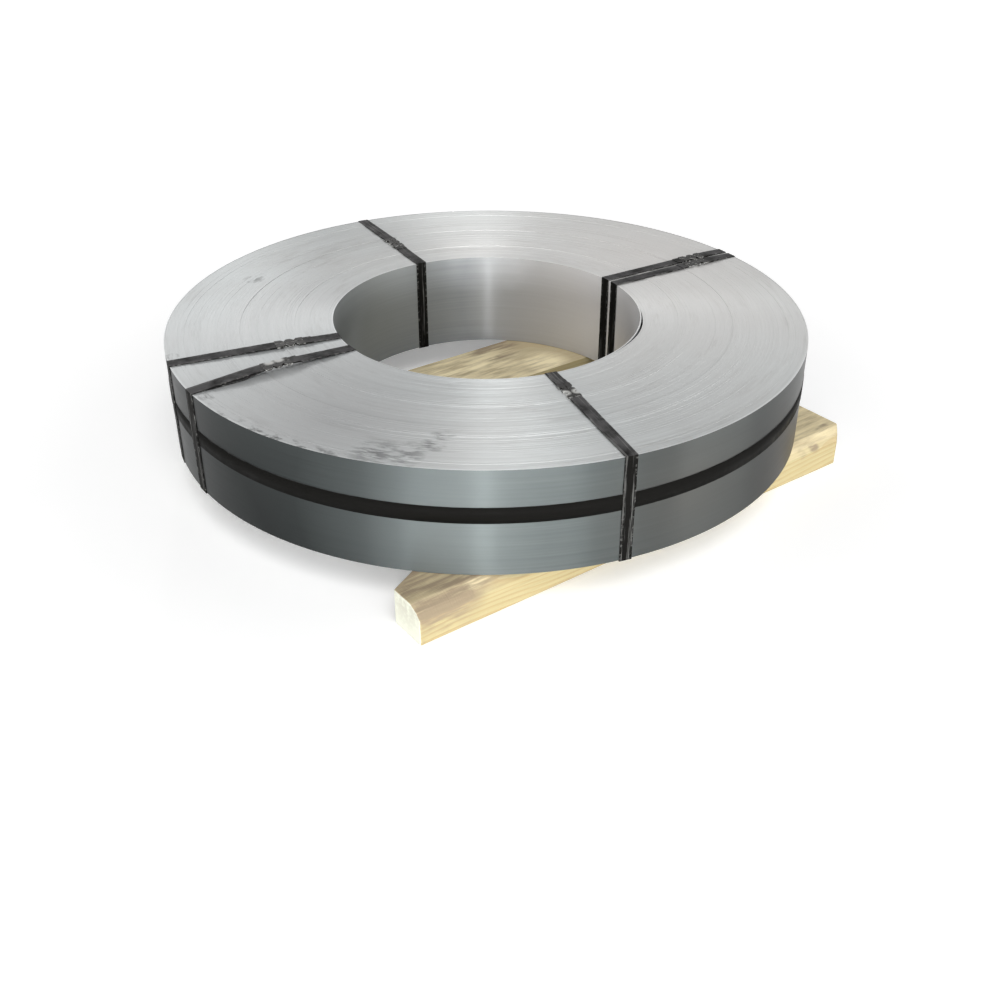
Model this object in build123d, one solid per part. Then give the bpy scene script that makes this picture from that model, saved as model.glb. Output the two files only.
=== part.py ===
from build123d import *
from math import cos, degrees, radians, sin
import os

# Coil: slit strip wound on a mandrel, lying flat with its eye upright
bore_diameter = 508.0
coil_diameter = 1045.0
strip_width = 166.0
strip_thickness = 2.0
tail_azimuth = 62.0

# End faces: bands of turns that stand a little higher or lower than the rest
top_band_count = 9
bottom_band_count = 4
end_relief = 1.4
band_phase = 2.2

# Inner turn: it stands off the pack over a short stretch of the eye
stand_off_azimuth = -53.0
stand_off_angle = 24.0
stand_off_gap = 3.5
stand_off_depth = 90.0

# Bearers: two sawn timbers under the coil, parallel to X
timber_height = 56.0
timber_width = 150.0
timber_length = 850.0
front_timber_inset = 82.5
middle_timber_inner_y = 35.0
timber_arris = 2.0
wane_width = 24.0
wane_height = 16.0
wane_knee_width = 9.0
wane_knee_height = 7.0
broken_corner_width = 86.0
broken_corner_length = 170.0
chipped_corner_width = 26.0
chipped_corner_length = 27.0

# Steel strapping
strap_thickness = 0.8
strap_clearance = 0.05
edge_clearance = 0.15
bend_radius = 0.65
flat_by_bore = 8.0
eye_strap_width = 19.0
wide_eye_strap_width = 22.0
belly_strap_width = 25.0
belly_strap_height = 96.5
strap_tail = 14.0
belly_crossing = 20.0

# Seals: sleeves of folded sheet, closed by notches on both edges
seal_wall = 0.9
seal_clearance = 0.05
seal_length = 45.0
seal_seam = 1.6
notch_width = 9.5
notch_depth = 5.2
notch_spacing = 16.0
belly_seal_azimuth = 28.0

# Eye straps: azimuth, sideways shift, width, place of the seal as a share of the way from
# the eye to the outside, and how far slack lifts the seal off the coil
pair_azimuth = -4.3
pair_gap = 6.5
pair_shift = (eye_strap_width + pair_gap) / 2
slack_lift = 5.0
eye_straps = [
    (-104.8, 5.4, eye_strap_width, 0.25, 0.0),
    (166.8, 0.0, wide_eye_strap_width, 0.30, 0.0),
    (178.6, 0.0, wide_eye_strap_width, 0.48, slack_lift),
    (82.5, 0.0, eye_strap_width, 0.44, 0.0),
    (pair_azimuth, pair_shift, eye_strap_width, 0.72, 0.0),
    (pair_azimuth, -pair_shift, eye_strap_width, 0.68, 0.0),
]

# Values that follow from the sizes above
bore_radius = bore_diameter / 2
coil_radius = coil_diameter / 2
front_timber_outer_y = front_timber_inset - coil_radius
coil_bottom = timber_height
coil_top = coil_bottom + strip_width
belly_z = coil_bottom + belly_strap_height
belly_low = belly_z - belly_strap_width / 2
belly_high = belly_z + belly_strap_width / 2
layer_pitch = strap_thickness + strap_clearance
overshoot = 5.0


def two_centre_spiral(radius, step, azimuth):
    """Outline of one turn of a spiral as two half circles, closed by a step at the azimuth."""
    along = Vector(cos(radians(azimuth)), sin(radians(azimuth)))
    side = Vector(-along.Y, along.X)
    start = along * radius
    half = along * -radius
    end = along * (radius - step)
    second_centre = along * (-step / 2)
    first = ThreePointArc(start, side * radius, half)
    second = ThreePointArc(half, second_centre - side * (radius - step / 2), end)
    return make_face([first, second, Line(end, start)])


def band_drop(index):
    """How far one band of turns lies below the highest one."""
    return end_relief * (1 + sin(band_phase * index)) / 2


def end_cutter(band_count):
    """Turned ring that cuts the bands of one end face, drawn for an end face at height 0."""
    pitch = (coil_radius - bore_radius) / band_count
    points = [(bore_radius - overshoot, overshoot)]
    for index in range(band_count):
        inner = bore_radius + index * pitch - (overshoot if index == 0 else 0)
        outer = bore_radius + (index + 1) * pitch + (overshoot if index == band_count - 1 else 0)
        points += [(inner, -band_drop(index)), (outer, -band_drop(index))]
    points.append((coil_radius + overshoot, overshoot))
    profile = Plane.XZ * make_face(Polyline(*points, close=True))
    return revolve(profile, Axis.Z)


def stand_off():
    """Crescent gap behind the inner turn, between the turn and a circle that bulges past it."""
    turn = bore_radius + strip_thickness
    crest = turn + stand_off_gap
    offset = (crest ** 2 - turn ** 2) / 2 / (crest - turn * cos(radians(stand_off_angle)))
    crescent = Pos(offset, 0) * Circle(crest - offset) - Circle(turn)
    cut = extrude(crescent, stand_off_depth + overshoot)
    return Rot(0, 0, stand_off_azimuth) * Pos(0, 0, coil_top - stand_off_depth) * cut


def make_coil():
    """Strip wound into a ring round its eye, with its turns and its outer tail."""
    outside = two_centre_spiral(coil_radius, strip_thickness, tail_azimuth)
    body = Pos(0, 0, coil_bottom) * extrude(outside - Circle(bore_radius), strip_width)
    body -= Pos(0, 0, coil_top) * end_cutter(top_band_count)
    body -= Pos(0, 0, coil_bottom) * mirror(end_cutter(bottom_band_count), Plane.XY)
    body -= stand_off()
    return body


def seal_floor(lift):
    """Height of the underside of the lower strap layer inside a seal on the top face."""
    return coil_top + lift + seal_wall + seal_clearance


def seal_distance(share):
    """Distance of a seal's middle from the axis, along its strap."""
    return bore_radius + share * (coil_radius - bore_radius)


def eye_strap_path(share, lift):
    """Centre line of a strap from its lower end, through the eye, round the coil and over itself."""
    seal_radius = seal_distance(share)
    half = strap_thickness / 2
    wall = bore_radius - overshoot
    outer = coil_radius + edge_clearance + half
    outer_over = coil_radius + 2 * strap_clearance + strap_thickness + half
    top = coil_top + edge_clearance + half
    bottom = coil_bottom - edge_clearance - half
    lower = seal_floor(lift) + half
    upper = lower + layer_pitch
    seal_half = seal_length / 2
    points = [
        (seal_radius + seal_half + strap_tail, lower),
        (seal_radius - seal_half, lower),
        (bore_radius + flat_by_bore, top),
        (wall, top),
        (wall, bottom),
        (outer, bottom),
        (outer, belly_low - belly_crossing),
        (outer_over, belly_low - strap_thickness),
        (outer_over, belly_high + strap_thickness),
        (outer, belly_high + belly_crossing),
        (outer, top),
        (seal_radius + seal_half + strap_tail + 2 * strap_thickness, upper),
        (seal_radius - seal_half - strap_tail, upper),
    ]
    return FilletPolyline(*points, radius=bend_radius)


def notch_cutter(width, height):
    """V-shaped notches on both edges of a strap that runs along X, centred on the origin."""
    cutters = []
    for place in (-notch_spacing / 2, notch_spacing / 2):
        for side in (-1, 1):
            edge = side * (width / 2 + seal_clearance + seal_wall + overshoot)
            tip = side * (width / 2 - notch_depth)
            spread = notch_width / 2 * abs(edge - tip) / (notch_depth + seal_clearance + seal_wall)
            triangle = Polyline((place, tip), (place - spread, edge), (place + spread, edge), close=True)
            cutters.append(extrude(make_face(triangle), height, both=True))
    return cutters


def bore_run(shift, width):
    """Run of a strap that lies against the curved wall of the eye."""
    outer = bore_radius - strap_clearance
    ring = Circle(outer) - Circle(outer - strap_thickness)
    window = Pos(outer, shift) * Rectangle(outer, width)
    reach = edge_clearance + strap_thickness
    return Pos(0, 0, coil_bottom - reach) * extrude(ring & window, strip_width + 2 * reach)


def make_eye_strap(azimuth, shift, width, share, lift):
    """Flat steel strap bent round the section of the coil, with the notches of its seal."""
    inner = bore_radius - strap_clearance - strap_thickness
    path = eye_strap_path(share, lift)
    band = extrude(Plane.XZ * trace(path, strap_thickness), width / 2, both=True)
    eye = Cylinder(bore_radius - strap_clearance, 4 * coil_top)
    strap = Pos(0, shift, 0) * band - eye + bore_run(shift, width)
    arcs = strap.edges().filter_by(GeomType.CIRCLE)
    rims = arcs.filter_by(lambda arc: abs(arc.radius - inner) < strap_clearance)
    strap = Rot(0, 0, azimuth) * fillet(rims, bend_radius)
    place = seal_place(azimuth, shift, share, lift)
    for cutter in notch_cutter(width, layer_pitch + strap_thickness):
        strap -= place * cutter
    return strap


def seal_sleeve(width):
    """Folded sleeve round two strap layers that run along X, with a seam along its top."""
    inner_width = width + 2 * seal_clearance
    inner_height = strap_thickness + layer_pitch + 2 * seal_clearance
    outer_width = inner_width + 2 * seal_wall
    outer_height = inner_height + 2 * seal_wall
    section = chamfer(Rectangle(outer_width, outer_height).vertices(), seal_wall / 2)
    section -= Rectangle(inner_width, inner_height)
    section -= Pos(0, outer_height / 2) * Rectangle(seal_seam, 2 * seal_wall)
    sleeve = extrude(Plane.YZ * section, seal_length / 2, both=True)
    for cutter in notch_cutter(width, outer_height):
        sleeve -= cutter
    return sleeve


def seal_place(azimuth, shift, share, lift):
    """Place of a seal on the top face: its middle, half way up the two strap layers."""
    middle = seal_floor(lift) + (strap_thickness + layer_pitch) / 2
    return Rot(0, 0, azimuth) * Pos(seal_distance(share), shift, middle)


def make_eye_seal(azimuth, shift, width, share, lift):
    """Notched seal of one eye strap."""
    return seal_place(azimuth, shift, share, lift) * seal_sleeve(width)


def belly_notches():
    """Notches of the belly seal, cut inwards through seal and strap."""
    face = Plane(origin=(coil_radius, 0, belly_z), x_dir=(0, 1, 0), z_dir=(1, 0, 0))
    place = Rot(0, 0, belly_seal_azimuth)
    return [place * (face * cutter) for cutter in notch_cutter(belly_strap_width, overshoot)]


def make_belly_strap():
    """Strap round the outside of the coil, with the notches of its seal."""
    inner = coil_radius + strap_clearance
    ring = Circle(inner + strap_thickness) - Circle(inner)
    strap = Pos(0, 0, belly_low) * extrude(ring, belly_strap_width)
    for cutter in belly_notches():
        strap -= cutter
    return strap


def make_belly_seal():
    """Notched seal of the belly strap: a channel closed over the strap's face and edges."""
    inner = coil_radius + strap_clearance
    slot = strap_thickness + seal_clearance
    outer = inner + slot + seal_wall
    half_width = belly_strap_width / 2 + seal_clearance
    section = Pos((inner + outer) / 2, 0) * Rectangle(outer - inner, 2 * (half_width + seal_wall))
    section -= Pos(inner + slot / 2, 0) * Rectangle(slot, 2 * half_width)
    angle = degrees(seal_length / inner)
    channel = revolve(Plane.XZ * section, Axis.Z, angle)
    seal = Rot(0, 0, belly_seal_azimuth - angle / 2) * Pos(0, 0, belly_z) * channel
    for cutter in belly_notches():
        seal -= cutter
    return seal


def timber(outer_y, wane):
    """Sawn timber along X, with rounded arrises and bark wane on its upper front edge if wanted."""
    inner_y = outer_y + timber_width
    points = [
        (outer_y, timber_arris),
        (outer_y + timber_arris, 0),
        (inner_y - timber_arris, 0),
        (inner_y, timber_arris),
        (inner_y, timber_height - timber_arris),
        (inner_y - timber_arris, timber_height),
    ]
    if wane:
        points.append((outer_y + wane_width, timber_height))
        points.append((outer_y + wane_knee_width, timber_height - wane_knee_height))
        points.append((outer_y, timber_height - wane_height))
    else:
        points.append((outer_y + timber_arris, timber_height))
        points.append((outer_y, timber_height - timber_arris))
    section = make_face(Polyline(*points, close=True))
    return extrude(Plane.YZ * section, timber_length / 2, both=True)


def cut_strap_beds(bearer):
    """Shallow beds that the straps under the coil press into the top of a timber."""
    depth = strap_thickness + edge_clearance + strap_clearance
    length = coil_radius - bore_radius + 2 * overshoot
    middle = (bore_radius + coil_radius) / 2
    for azimuth, shift, width, _, _ in eye_straps:
        bed = Box(length, width + 2 * strap_clearance, 2 * depth)
        bearer -= Rot(0, 0, azimuth) * Pos(middle, shift, timber_height) * bed
    return bearer


def corner_wedge(corner_x, corner_y, length, width):
    """Wedge over an upright corner; length and width run from the corner along the bearer's sides."""
    outline = Polyline(
        (corner_x - length / 10, corner_y + width * 1.1),
        (corner_x + length * 1.1, corner_y - width / 10),
        (corner_x - length / 10, corner_y - width / 10),
        close=True,
    )
    return extrude(make_face(outline), timber_height)


def make_front_timber():
    """Front bearer, with wane along its front edge, one far corner broken off and one near corner chipped."""
    end_x = timber_length / 2
    inner_y = front_timber_outer_y + timber_width
    bearer = timber(front_timber_outer_y, wane=True)
    bearer -= corner_wedge(-end_x, inner_y, broken_corner_length, -broken_corner_width)
    bearer -= corner_wedge(end_x, front_timber_outer_y, -chipped_corner_length, chipped_corner_width)
    return cut_strap_beds(bearer)


def make_middle_timber():
    """Bearer under the eye of the coil."""
    return cut_strap_beds(timber(middle_timber_inner_y, wane=False))


def save(name, shape):
    """Write one piece to its own file."""
    export_step(shape, "parts/" + name + ".step")


def main():
    os.makedirs("parts", exist_ok=True)
    save("coil", make_coil())
    save("belly_strap", make_belly_strap())
    save("belly_seal", make_belly_seal())
    for number, strap in enumerate(eye_straps, start=1):
        save(f"eye_strap_{number}", make_eye_strap(*strap))
        save(f"eye_seal_{number}", make_eye_seal(*strap))
    save("timber_front", make_front_timber())
    save("timber_middle", make_middle_timber())


main()
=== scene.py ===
import math

import bmesh
import bpy
from bpy.props import FloatProperty, FloatVectorProperty, IntProperty, PointerProperty
from mathutils import Matrix, Vector, noise


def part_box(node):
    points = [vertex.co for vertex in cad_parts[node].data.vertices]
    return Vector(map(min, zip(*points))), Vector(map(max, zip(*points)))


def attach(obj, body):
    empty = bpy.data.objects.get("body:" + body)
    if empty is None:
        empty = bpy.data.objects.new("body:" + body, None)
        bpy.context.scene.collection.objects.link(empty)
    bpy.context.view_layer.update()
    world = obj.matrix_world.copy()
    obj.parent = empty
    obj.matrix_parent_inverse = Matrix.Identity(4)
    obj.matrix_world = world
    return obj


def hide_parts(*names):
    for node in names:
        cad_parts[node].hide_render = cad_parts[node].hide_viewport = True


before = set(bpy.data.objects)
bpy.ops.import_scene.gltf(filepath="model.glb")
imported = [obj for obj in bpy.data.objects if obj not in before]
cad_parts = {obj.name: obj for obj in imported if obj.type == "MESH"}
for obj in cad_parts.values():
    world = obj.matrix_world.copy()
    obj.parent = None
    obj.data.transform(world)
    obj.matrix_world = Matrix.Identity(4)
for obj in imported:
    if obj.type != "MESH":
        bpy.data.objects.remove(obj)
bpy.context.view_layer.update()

bl_info = {
    "name": "Slit steel coil on timber",
    "version": (1, 0, 0),
    "blender": (4, 5, 0),
    "location": "3D View > Sidebar > Coil",
    "description": "Dresses a slit steel coil, its strapping and its timber bearers",
    "category": "Object",
}

COIL_LOW, COIL_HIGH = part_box("coil")
FRONT_LOW, FRONT_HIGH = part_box("timber_front")
MIDDLE_LOW, MIDDLE_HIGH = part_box("timber_middle")
HALF_HEIGHT = (COIL_LOW.z + COIL_HIGH.z) / 2

# Ends of the coil: bands of turns that stand higher or lower, and small steps from turn to turn
BAND_COUNT = 9
BAND_PHASE = 2.2
BAND_SHARE = 0.62
STEP_SHARE = 0.30
BASE_SHARE = 0.05
LEAST_SHARE = 0.03
TURN_FLAT = 0.93
LOWER_GROUP = 6

# Stretch of the eye where the inner turn stands off the pack
STAND_OFF_AZIMUTH = -53.0
STAND_OFF_ANGLE = 24.0
STAND_OFF_GAP = 0.0035
STAND_OFF_REACH = 0.008

# Outer and inner turn, with how far each stops short of the coil's lower and upper end
OUTER_TURN_AZIMUTH = 62.0
INNER_TURN_AZIMUTH = -115.0
TURN_ANGLE = 359.75
TURN_FILL = 0.97
OUTER_TURN_ENDS = (0.0009, 0.0001)
INNER_TURN_ENDS = (0.0007, 0.0005)

# What tells the coil's walls from its ends, and smooth edges from sharp or open ones
WALL_HEIGHT = 0.02
WALL_TILT = 0.2
SHARP_ANGLE = 0.5
OPEN_EDGE_ANGLE = 4.0

# Gaps between the eye straps and what they lie on, and how far the belly strap sinks into the coil
STRAP_GAP = 0.00005
RIM_GAP = 0.00015
CROSSING_GAP = 0.00009
BELLY_SINK = 0.00005

# Eye straps: bends, the landing by the eye, and the slopes over the belly strap
BEND_RADIUS = 0.0007
BEND_STEPS = 3
STRAIGHT = 0.01
LANDING = 0.008
CROSSING_SLOPE = 0.020
CROSSING_STEP = 0.0008
LONG_EDGE = 0.02
LONG_EDGE_CUTS = 8
EDGE_WAVE = 0.0005
EYE_WALL_DEPTH = 0.0015

# Ends of a strap in its seal, and the slack that lifts one of the seals
SEAL_FLOOR = 0.00095
SEAL_HALF = 0.0225
UPPER_TAIL = 0.014
UPPER_RISE = 0.0156
SLACK_START = 0.060
SLACK_HUMP = 0.0003
SLACK_END = 0.0245
ABOVE_TOP = COIL_HIGH.z + 0.0005

# Notches in both edges of a strap, on each side of the seal's middle
NOTCH_PLACE = 0.008
NOTCH_HALF_WIDTH = 0.00475
EDGE_ROW = 0.0012
NOTCH_ROW = 0.0040
NOTCH_DEPTH = EDGE_ROW + NOTCH_ROW
NOTCH_TIP = 0.25
SAME_PLACE = 0.0002

# Eye straps: azimuth, sideways shift, width, place of the seal as a share of the way from the
# eye to the outside, how far slack lifts the seal, and how far the lower end runs on past the seal
EYE_STRAPS = (
    ("eye_strap_1", -104.8, 0.0054, 0.019, 0.25, 0.0, 0.014),
    ("eye_strap_2", 166.8, 0.0, 0.022, 0.30, 0.0, 0.014),
    ("eye_strap_3", 178.6, 0.0, 0.022, 0.48, 0.005, 0.095),
    ("eye_strap_4", 82.5, 0.0, 0.019, 0.44, 0.0, 0.014),
    ("eye_strap_5", -4.3, 0.01275, 0.019, 0.72, 0.0, 0.014),
    ("eye_strap_6", -4.3, -0.01275, 0.019, 0.68, 0.0, 0.014),
)

# Bearers: rough faces, rounded arrises, and the dents that straps press into their tops
ROUGHNESS_DEPTH = 0.0006
LEAST_DEPTH = 0.00002
TOP_DEPTH_SHARE = 0.3
SKIN = 0.004
ARRIS = 0.0018
GRID = (90, 18, 7)
DENT_DEPTH = 0.0012
DENT_MARGIN = 0.006
DENT_START = 0.2

# Front bearer: two planes of bark wane, a corner broken off and a corner chipped
UPPER_WANE = ((0.0165, -0.0035), Vector((0, -0.42, 0.90)).normalized())
LOWER_WANE = ((0.0045, -0.0115), Vector((0, -0.707, 0.707)))
BROKEN_START = 0.064
BROKEN_DIRECTION = Vector((-0.086, 0.170, 0.0)).normalized()
CHIP_LENGTH = 0.0275
CHIP_DIRECTION = Vector((0.693, -0.721, 0.0))

# Colours of marks on the slit edges, and of the painted highlight on their rims
CLOUD_COLOUR = (0.47, 0.46, 0.45)
RIM_HIGHLIGHT_COLOUR = (0.86, 0.88, 0.88)
GRIME_COLOUR = (0.26, 0.25, 0.24)
DIRT_COLOUR = (0.07, 0.07, 0.07)

# Dark smudges on the coil's top as place and reach, and the stretch of its rim that has dirt on it
SMUDGES = (
    (-0.354, -0.320, 0.026), (-0.300, -0.315, 0.020), (-0.325, -0.326, 0.022), (-0.395, -0.300, 0.040),
    (-0.372, -0.330, 0.030), (-0.247, 0.361, 0.020), (-0.507, -0.015, 0.014), (-0.493, 0.143, 0.012),
)
DIRTY_RIM = ((-0.475, -0.19, COIL_HIGH.z), 0.17)

# Painted light on the right of the coil's top, painted shade on its left, front and back, and painted light
# and shade in its eye, laid as patches: middle, reach, strength and colour
TOP_LIGHT_AND_SHADE = (
    ((0.38, 0.02, 0.22), 0.62, 0.60, (0.73, 0.695, 0.67)),
    ((-0.42, 0.12, 0.22), 0.42, 0.30, (0.42, 0.43, 0.44)),
    ((-0.40, -0.18, 0.22), 0.28, 0.60, (0.30, 0.30, 0.305)),
    ((-0.20, 0.20, 0.22), 0.16, 0.45, (0.38, 0.38, 0.38)),
    ((-0.02, 0.46, 0.22), 0.22, 0.22, (0.30, 0.30, 0.30)),
    ((-0.05, -0.43, 0.22), 0.20, 0.18, (0.30, 0.30, 0.30)),
)
# Painted light on the right of the eye wall, painted shade on its left
EYE_LIGHT_AND_SHADE = (
    ((0.25, -0.01, 0.14), 0.28, 0.85, (0.95, 0.92, 0.91)),
    ((-0.10, 0.23, 0.14), 0.22, 0.70, (0.20, 0.215, 0.20)),
)

# Strapping: dust and painted sheen on the straps' upper faces, dark and pale sheet of the seals, and the
# notches that are rubbed most
DUST_AND_SHEEN_COLOUR = (0.102, 0.100, 0.101)
SEAL_COLOURS = ((0.014, 0.013, 0.012), (0.048, 0.046, 0.044))
BRIGHT_NOTCHES = (
    (-0.375, 0.017, 0.2285), (-0.391, 0.017, 0.2285), (-0.070, -0.322, 0.2245), (-0.088, -0.317, 0.2245),
)
BRIGHT_REACH = 0.010

# Bearers: middle of the growth rings in Y and Z; stains, the middle bearer's painted shadow and patches of
# painted light as middle and reach, and the colour of that painted light
FRONT_PITH = (-0.30, -0.09)
FRONT_STAINS = (
    ((-0.375, -0.405, 0.056), 0.075), ((-0.340, -0.380, 0.056), 0.070), ((-0.395, -0.436, 0.052), 0.045),
    ((0.388, -0.417, 0.056), 0.016), ((0.398, -0.408, 0.056), 0.012), ((0.345, -0.438, 0.048), 0.014),
    ((0.315, -0.440, 0.046), 0.012),
)
# Painted highlight beside the stained left end, and painted light where the coil shades the right end
FRONT_PAINTED_LIGHT = (((-0.318, -0.420, 0.056), 0.026), ((0.37, -0.35, 0.056), 0.16))
FRONT_PAINTED_LIGHT_COLOUR = (0.82, 0.70, 0.44)
MIDDLE_PITH = (0.16, -0.12)
# Painted shadow near the eye's back wall on the middle bearer
MIDDLE_PAINTED_SHADOW = (((0.135, 0.165, 0.056), 0.06),)
# Painted pool of light on the middle bearer in the eye
MIDDLE_PAINTED_LIGHT = (((0.03, 0.075, 0.056), 0.16), ((0.17, 0.06, 0.056), 0.06))
MIDDLE_PAINTED_LIGHT_COLOUR = (1.0, 0.88, 0.58)

# Camera and floor
CAMERA_PLACE = Vector((-1.0730, -1.5034, 0.9998))
CAMERA_DIRECTION = Vector((0.5017, 0.6855, -0.5276))
SENSOR_WIDTH = 36.0
FLOOR_HALF = 30.0
FLOOR_HEIGHT = -0.0002

# Broad sun
SUN_PLACE = (-0.75, -1.75, 3.0)
SUN_ANGLE = 35.0
SUN_STRENGTH = 1.35

# Soft lamps: name, place, target, width, height and watts
LAMPS = (
    ("front_window", (-2.45, -4.1, 0.48), (0, 0, 0.12), 8.2, 0.8, 140.0),
    ("front_centre", (-2.6, -4.0, 0.50), (0, 0, 0.12), 5.0, 0.8, 120.0),
    ("front_strip", (-2.12, -2.86, 1.5), (0, 0, 0.15), 0.11, 1.9, 22.0),
    ("side_window", (2.5, -3.0, 0.55), (0, 0, 0.12), 2.0, 0.9, 18.0),
    ("back_window", (2.0, 3.1, 1.65), (0, 0, 0.222), 2.6, 0.6, 6.0),
    ("back_lamp", (0.85, 2.77, 1.36), (-0.29, 0.235, 0.222), 0.18, 0.3, 5.0),
)


class CoilSettings(bpy.types.PropertyGroup):
    """Sizes and colours of the wound strip."""

    bore_radius: FloatProperty(
        name="Eye radius", description="Radius of the eye", default=0.254, unit="LENGTH",
    )
    radius: FloatProperty(
        name="Outside radius", description="Radius over the outer turn", default=0.5225, unit="LENGTH",
    )
    strip: FloatProperty(
        name="Strip thickness", description="Thickness of the wound strip", default=0.002, unit="LENGTH",
    )
    relief: FloatProperty(
        name="End relief", description="How far turns stand back from the end face",
        default=0.0013, unit="LENGTH",
    )
    segments: IntProperty(
        name="Segments", description="Steps round the axis", default=180, min=48,
    )
    edge_colour: FloatVectorProperty(
        name="Slit edges", description="Colour of the cut edges",
        default=(0.625, 0.65, 0.65), size=3, subtype="COLOR",
    )
    face_colour: FloatVectorProperty(
        name="Strip face", description="Colour of the rolled surface",
        default=(0.112, 0.126, 0.126), size=3, subtype="COLOR",
    )
    # The eye wall's colour is a lighter copy of the strip face's: painted light in the eye
    inside_colour: FloatVectorProperty(
        name="Eye wall", description="Colour of the inner turn, which was wound on a clean mandrel",
        default=(0.29, 0.305, 0.315), size=3, subtype="COLOR",
    )


class StrappingSettings(bpy.types.PropertyGroup):
    """Sizes and colours of the steel strapping."""

    thickness: FloatProperty(
        name="Thickness", description="Thickness of the strapping", default=0.0008, unit="LENGTH",
    )
    belly_width: FloatProperty(
        name="Belly width", description="Width of the strap round the outside",
        default=0.025, unit="LENGTH",
    )
    belly_height: FloatProperty(
        name="Belly height", description="Height of the belly strap above the coil's lower end",
        default=0.0965, unit="LENGTH",
    )
    colour: FloatVectorProperty(
        name="Paint", description="Colour of the painted strapping",
        default=(0.0070, 0.0068, 0.0062), size=3, subtype="COLOR",
    )
    worn_colour: FloatVectorProperty(
        name="Worn steel", description="Colour of bare steel at notches and edges",
        default=(0.55, 0.55, 0.53), size=3, subtype="COLOR",
    )


class TimberSettings(bpy.types.PropertyGroup):
    """Colours of the bearers."""

    early_colour: FloatVectorProperty(
        name="Early wood", description="Pale part of a growth ring",
        default=(0.49, 0.425, 0.235), size=3, subtype="COLOR",
    )
    late_colour: FloatVectorProperty(
        name="Late wood", description="Dark part of a growth ring",
        default=(0.41, 0.29, 0.125), size=3, subtype="COLOR",
    )
    end_colour: FloatVectorProperty(
        name="End grain", description="Colour of the sawn ends",
        default=(0.79, 0.81, 0.70), size=3, subtype="COLOR",
    )
    top_colour: FloatVectorProperty(
        name="Weathered top", description="Colour of the upper faces",
        default=(0.54, 0.45, 0.30), size=3, subtype="COLOR",
    )
    # Also the colour of the painted shadow on the middle bearer
    stain_and_shadow_colour: FloatVectorProperty(
        name="Stain", description="Colour of weather stains",
        default=(0.25, 0.19, 0.13), size=3, subtype="COLOR",
    )


class StageSettings(bpy.types.PropertyGroup):
    """Camera, floor and even light."""

    focal_length: FloatProperty(
        name="Focal length", description="Focal length on a 36 mm sensor", default=42.865, min=10.0,
    )
    floor_colour: FloatVectorProperty(
        name="Floor", description="Colour of the floor",
        default=(0.92, 0.92, 0.92), size=3, subtype="COLOR",
    )
    world_strength: FloatProperty(
        name="World", description="Strength of the even light", default=0.30, min=0.0,
    )


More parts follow.
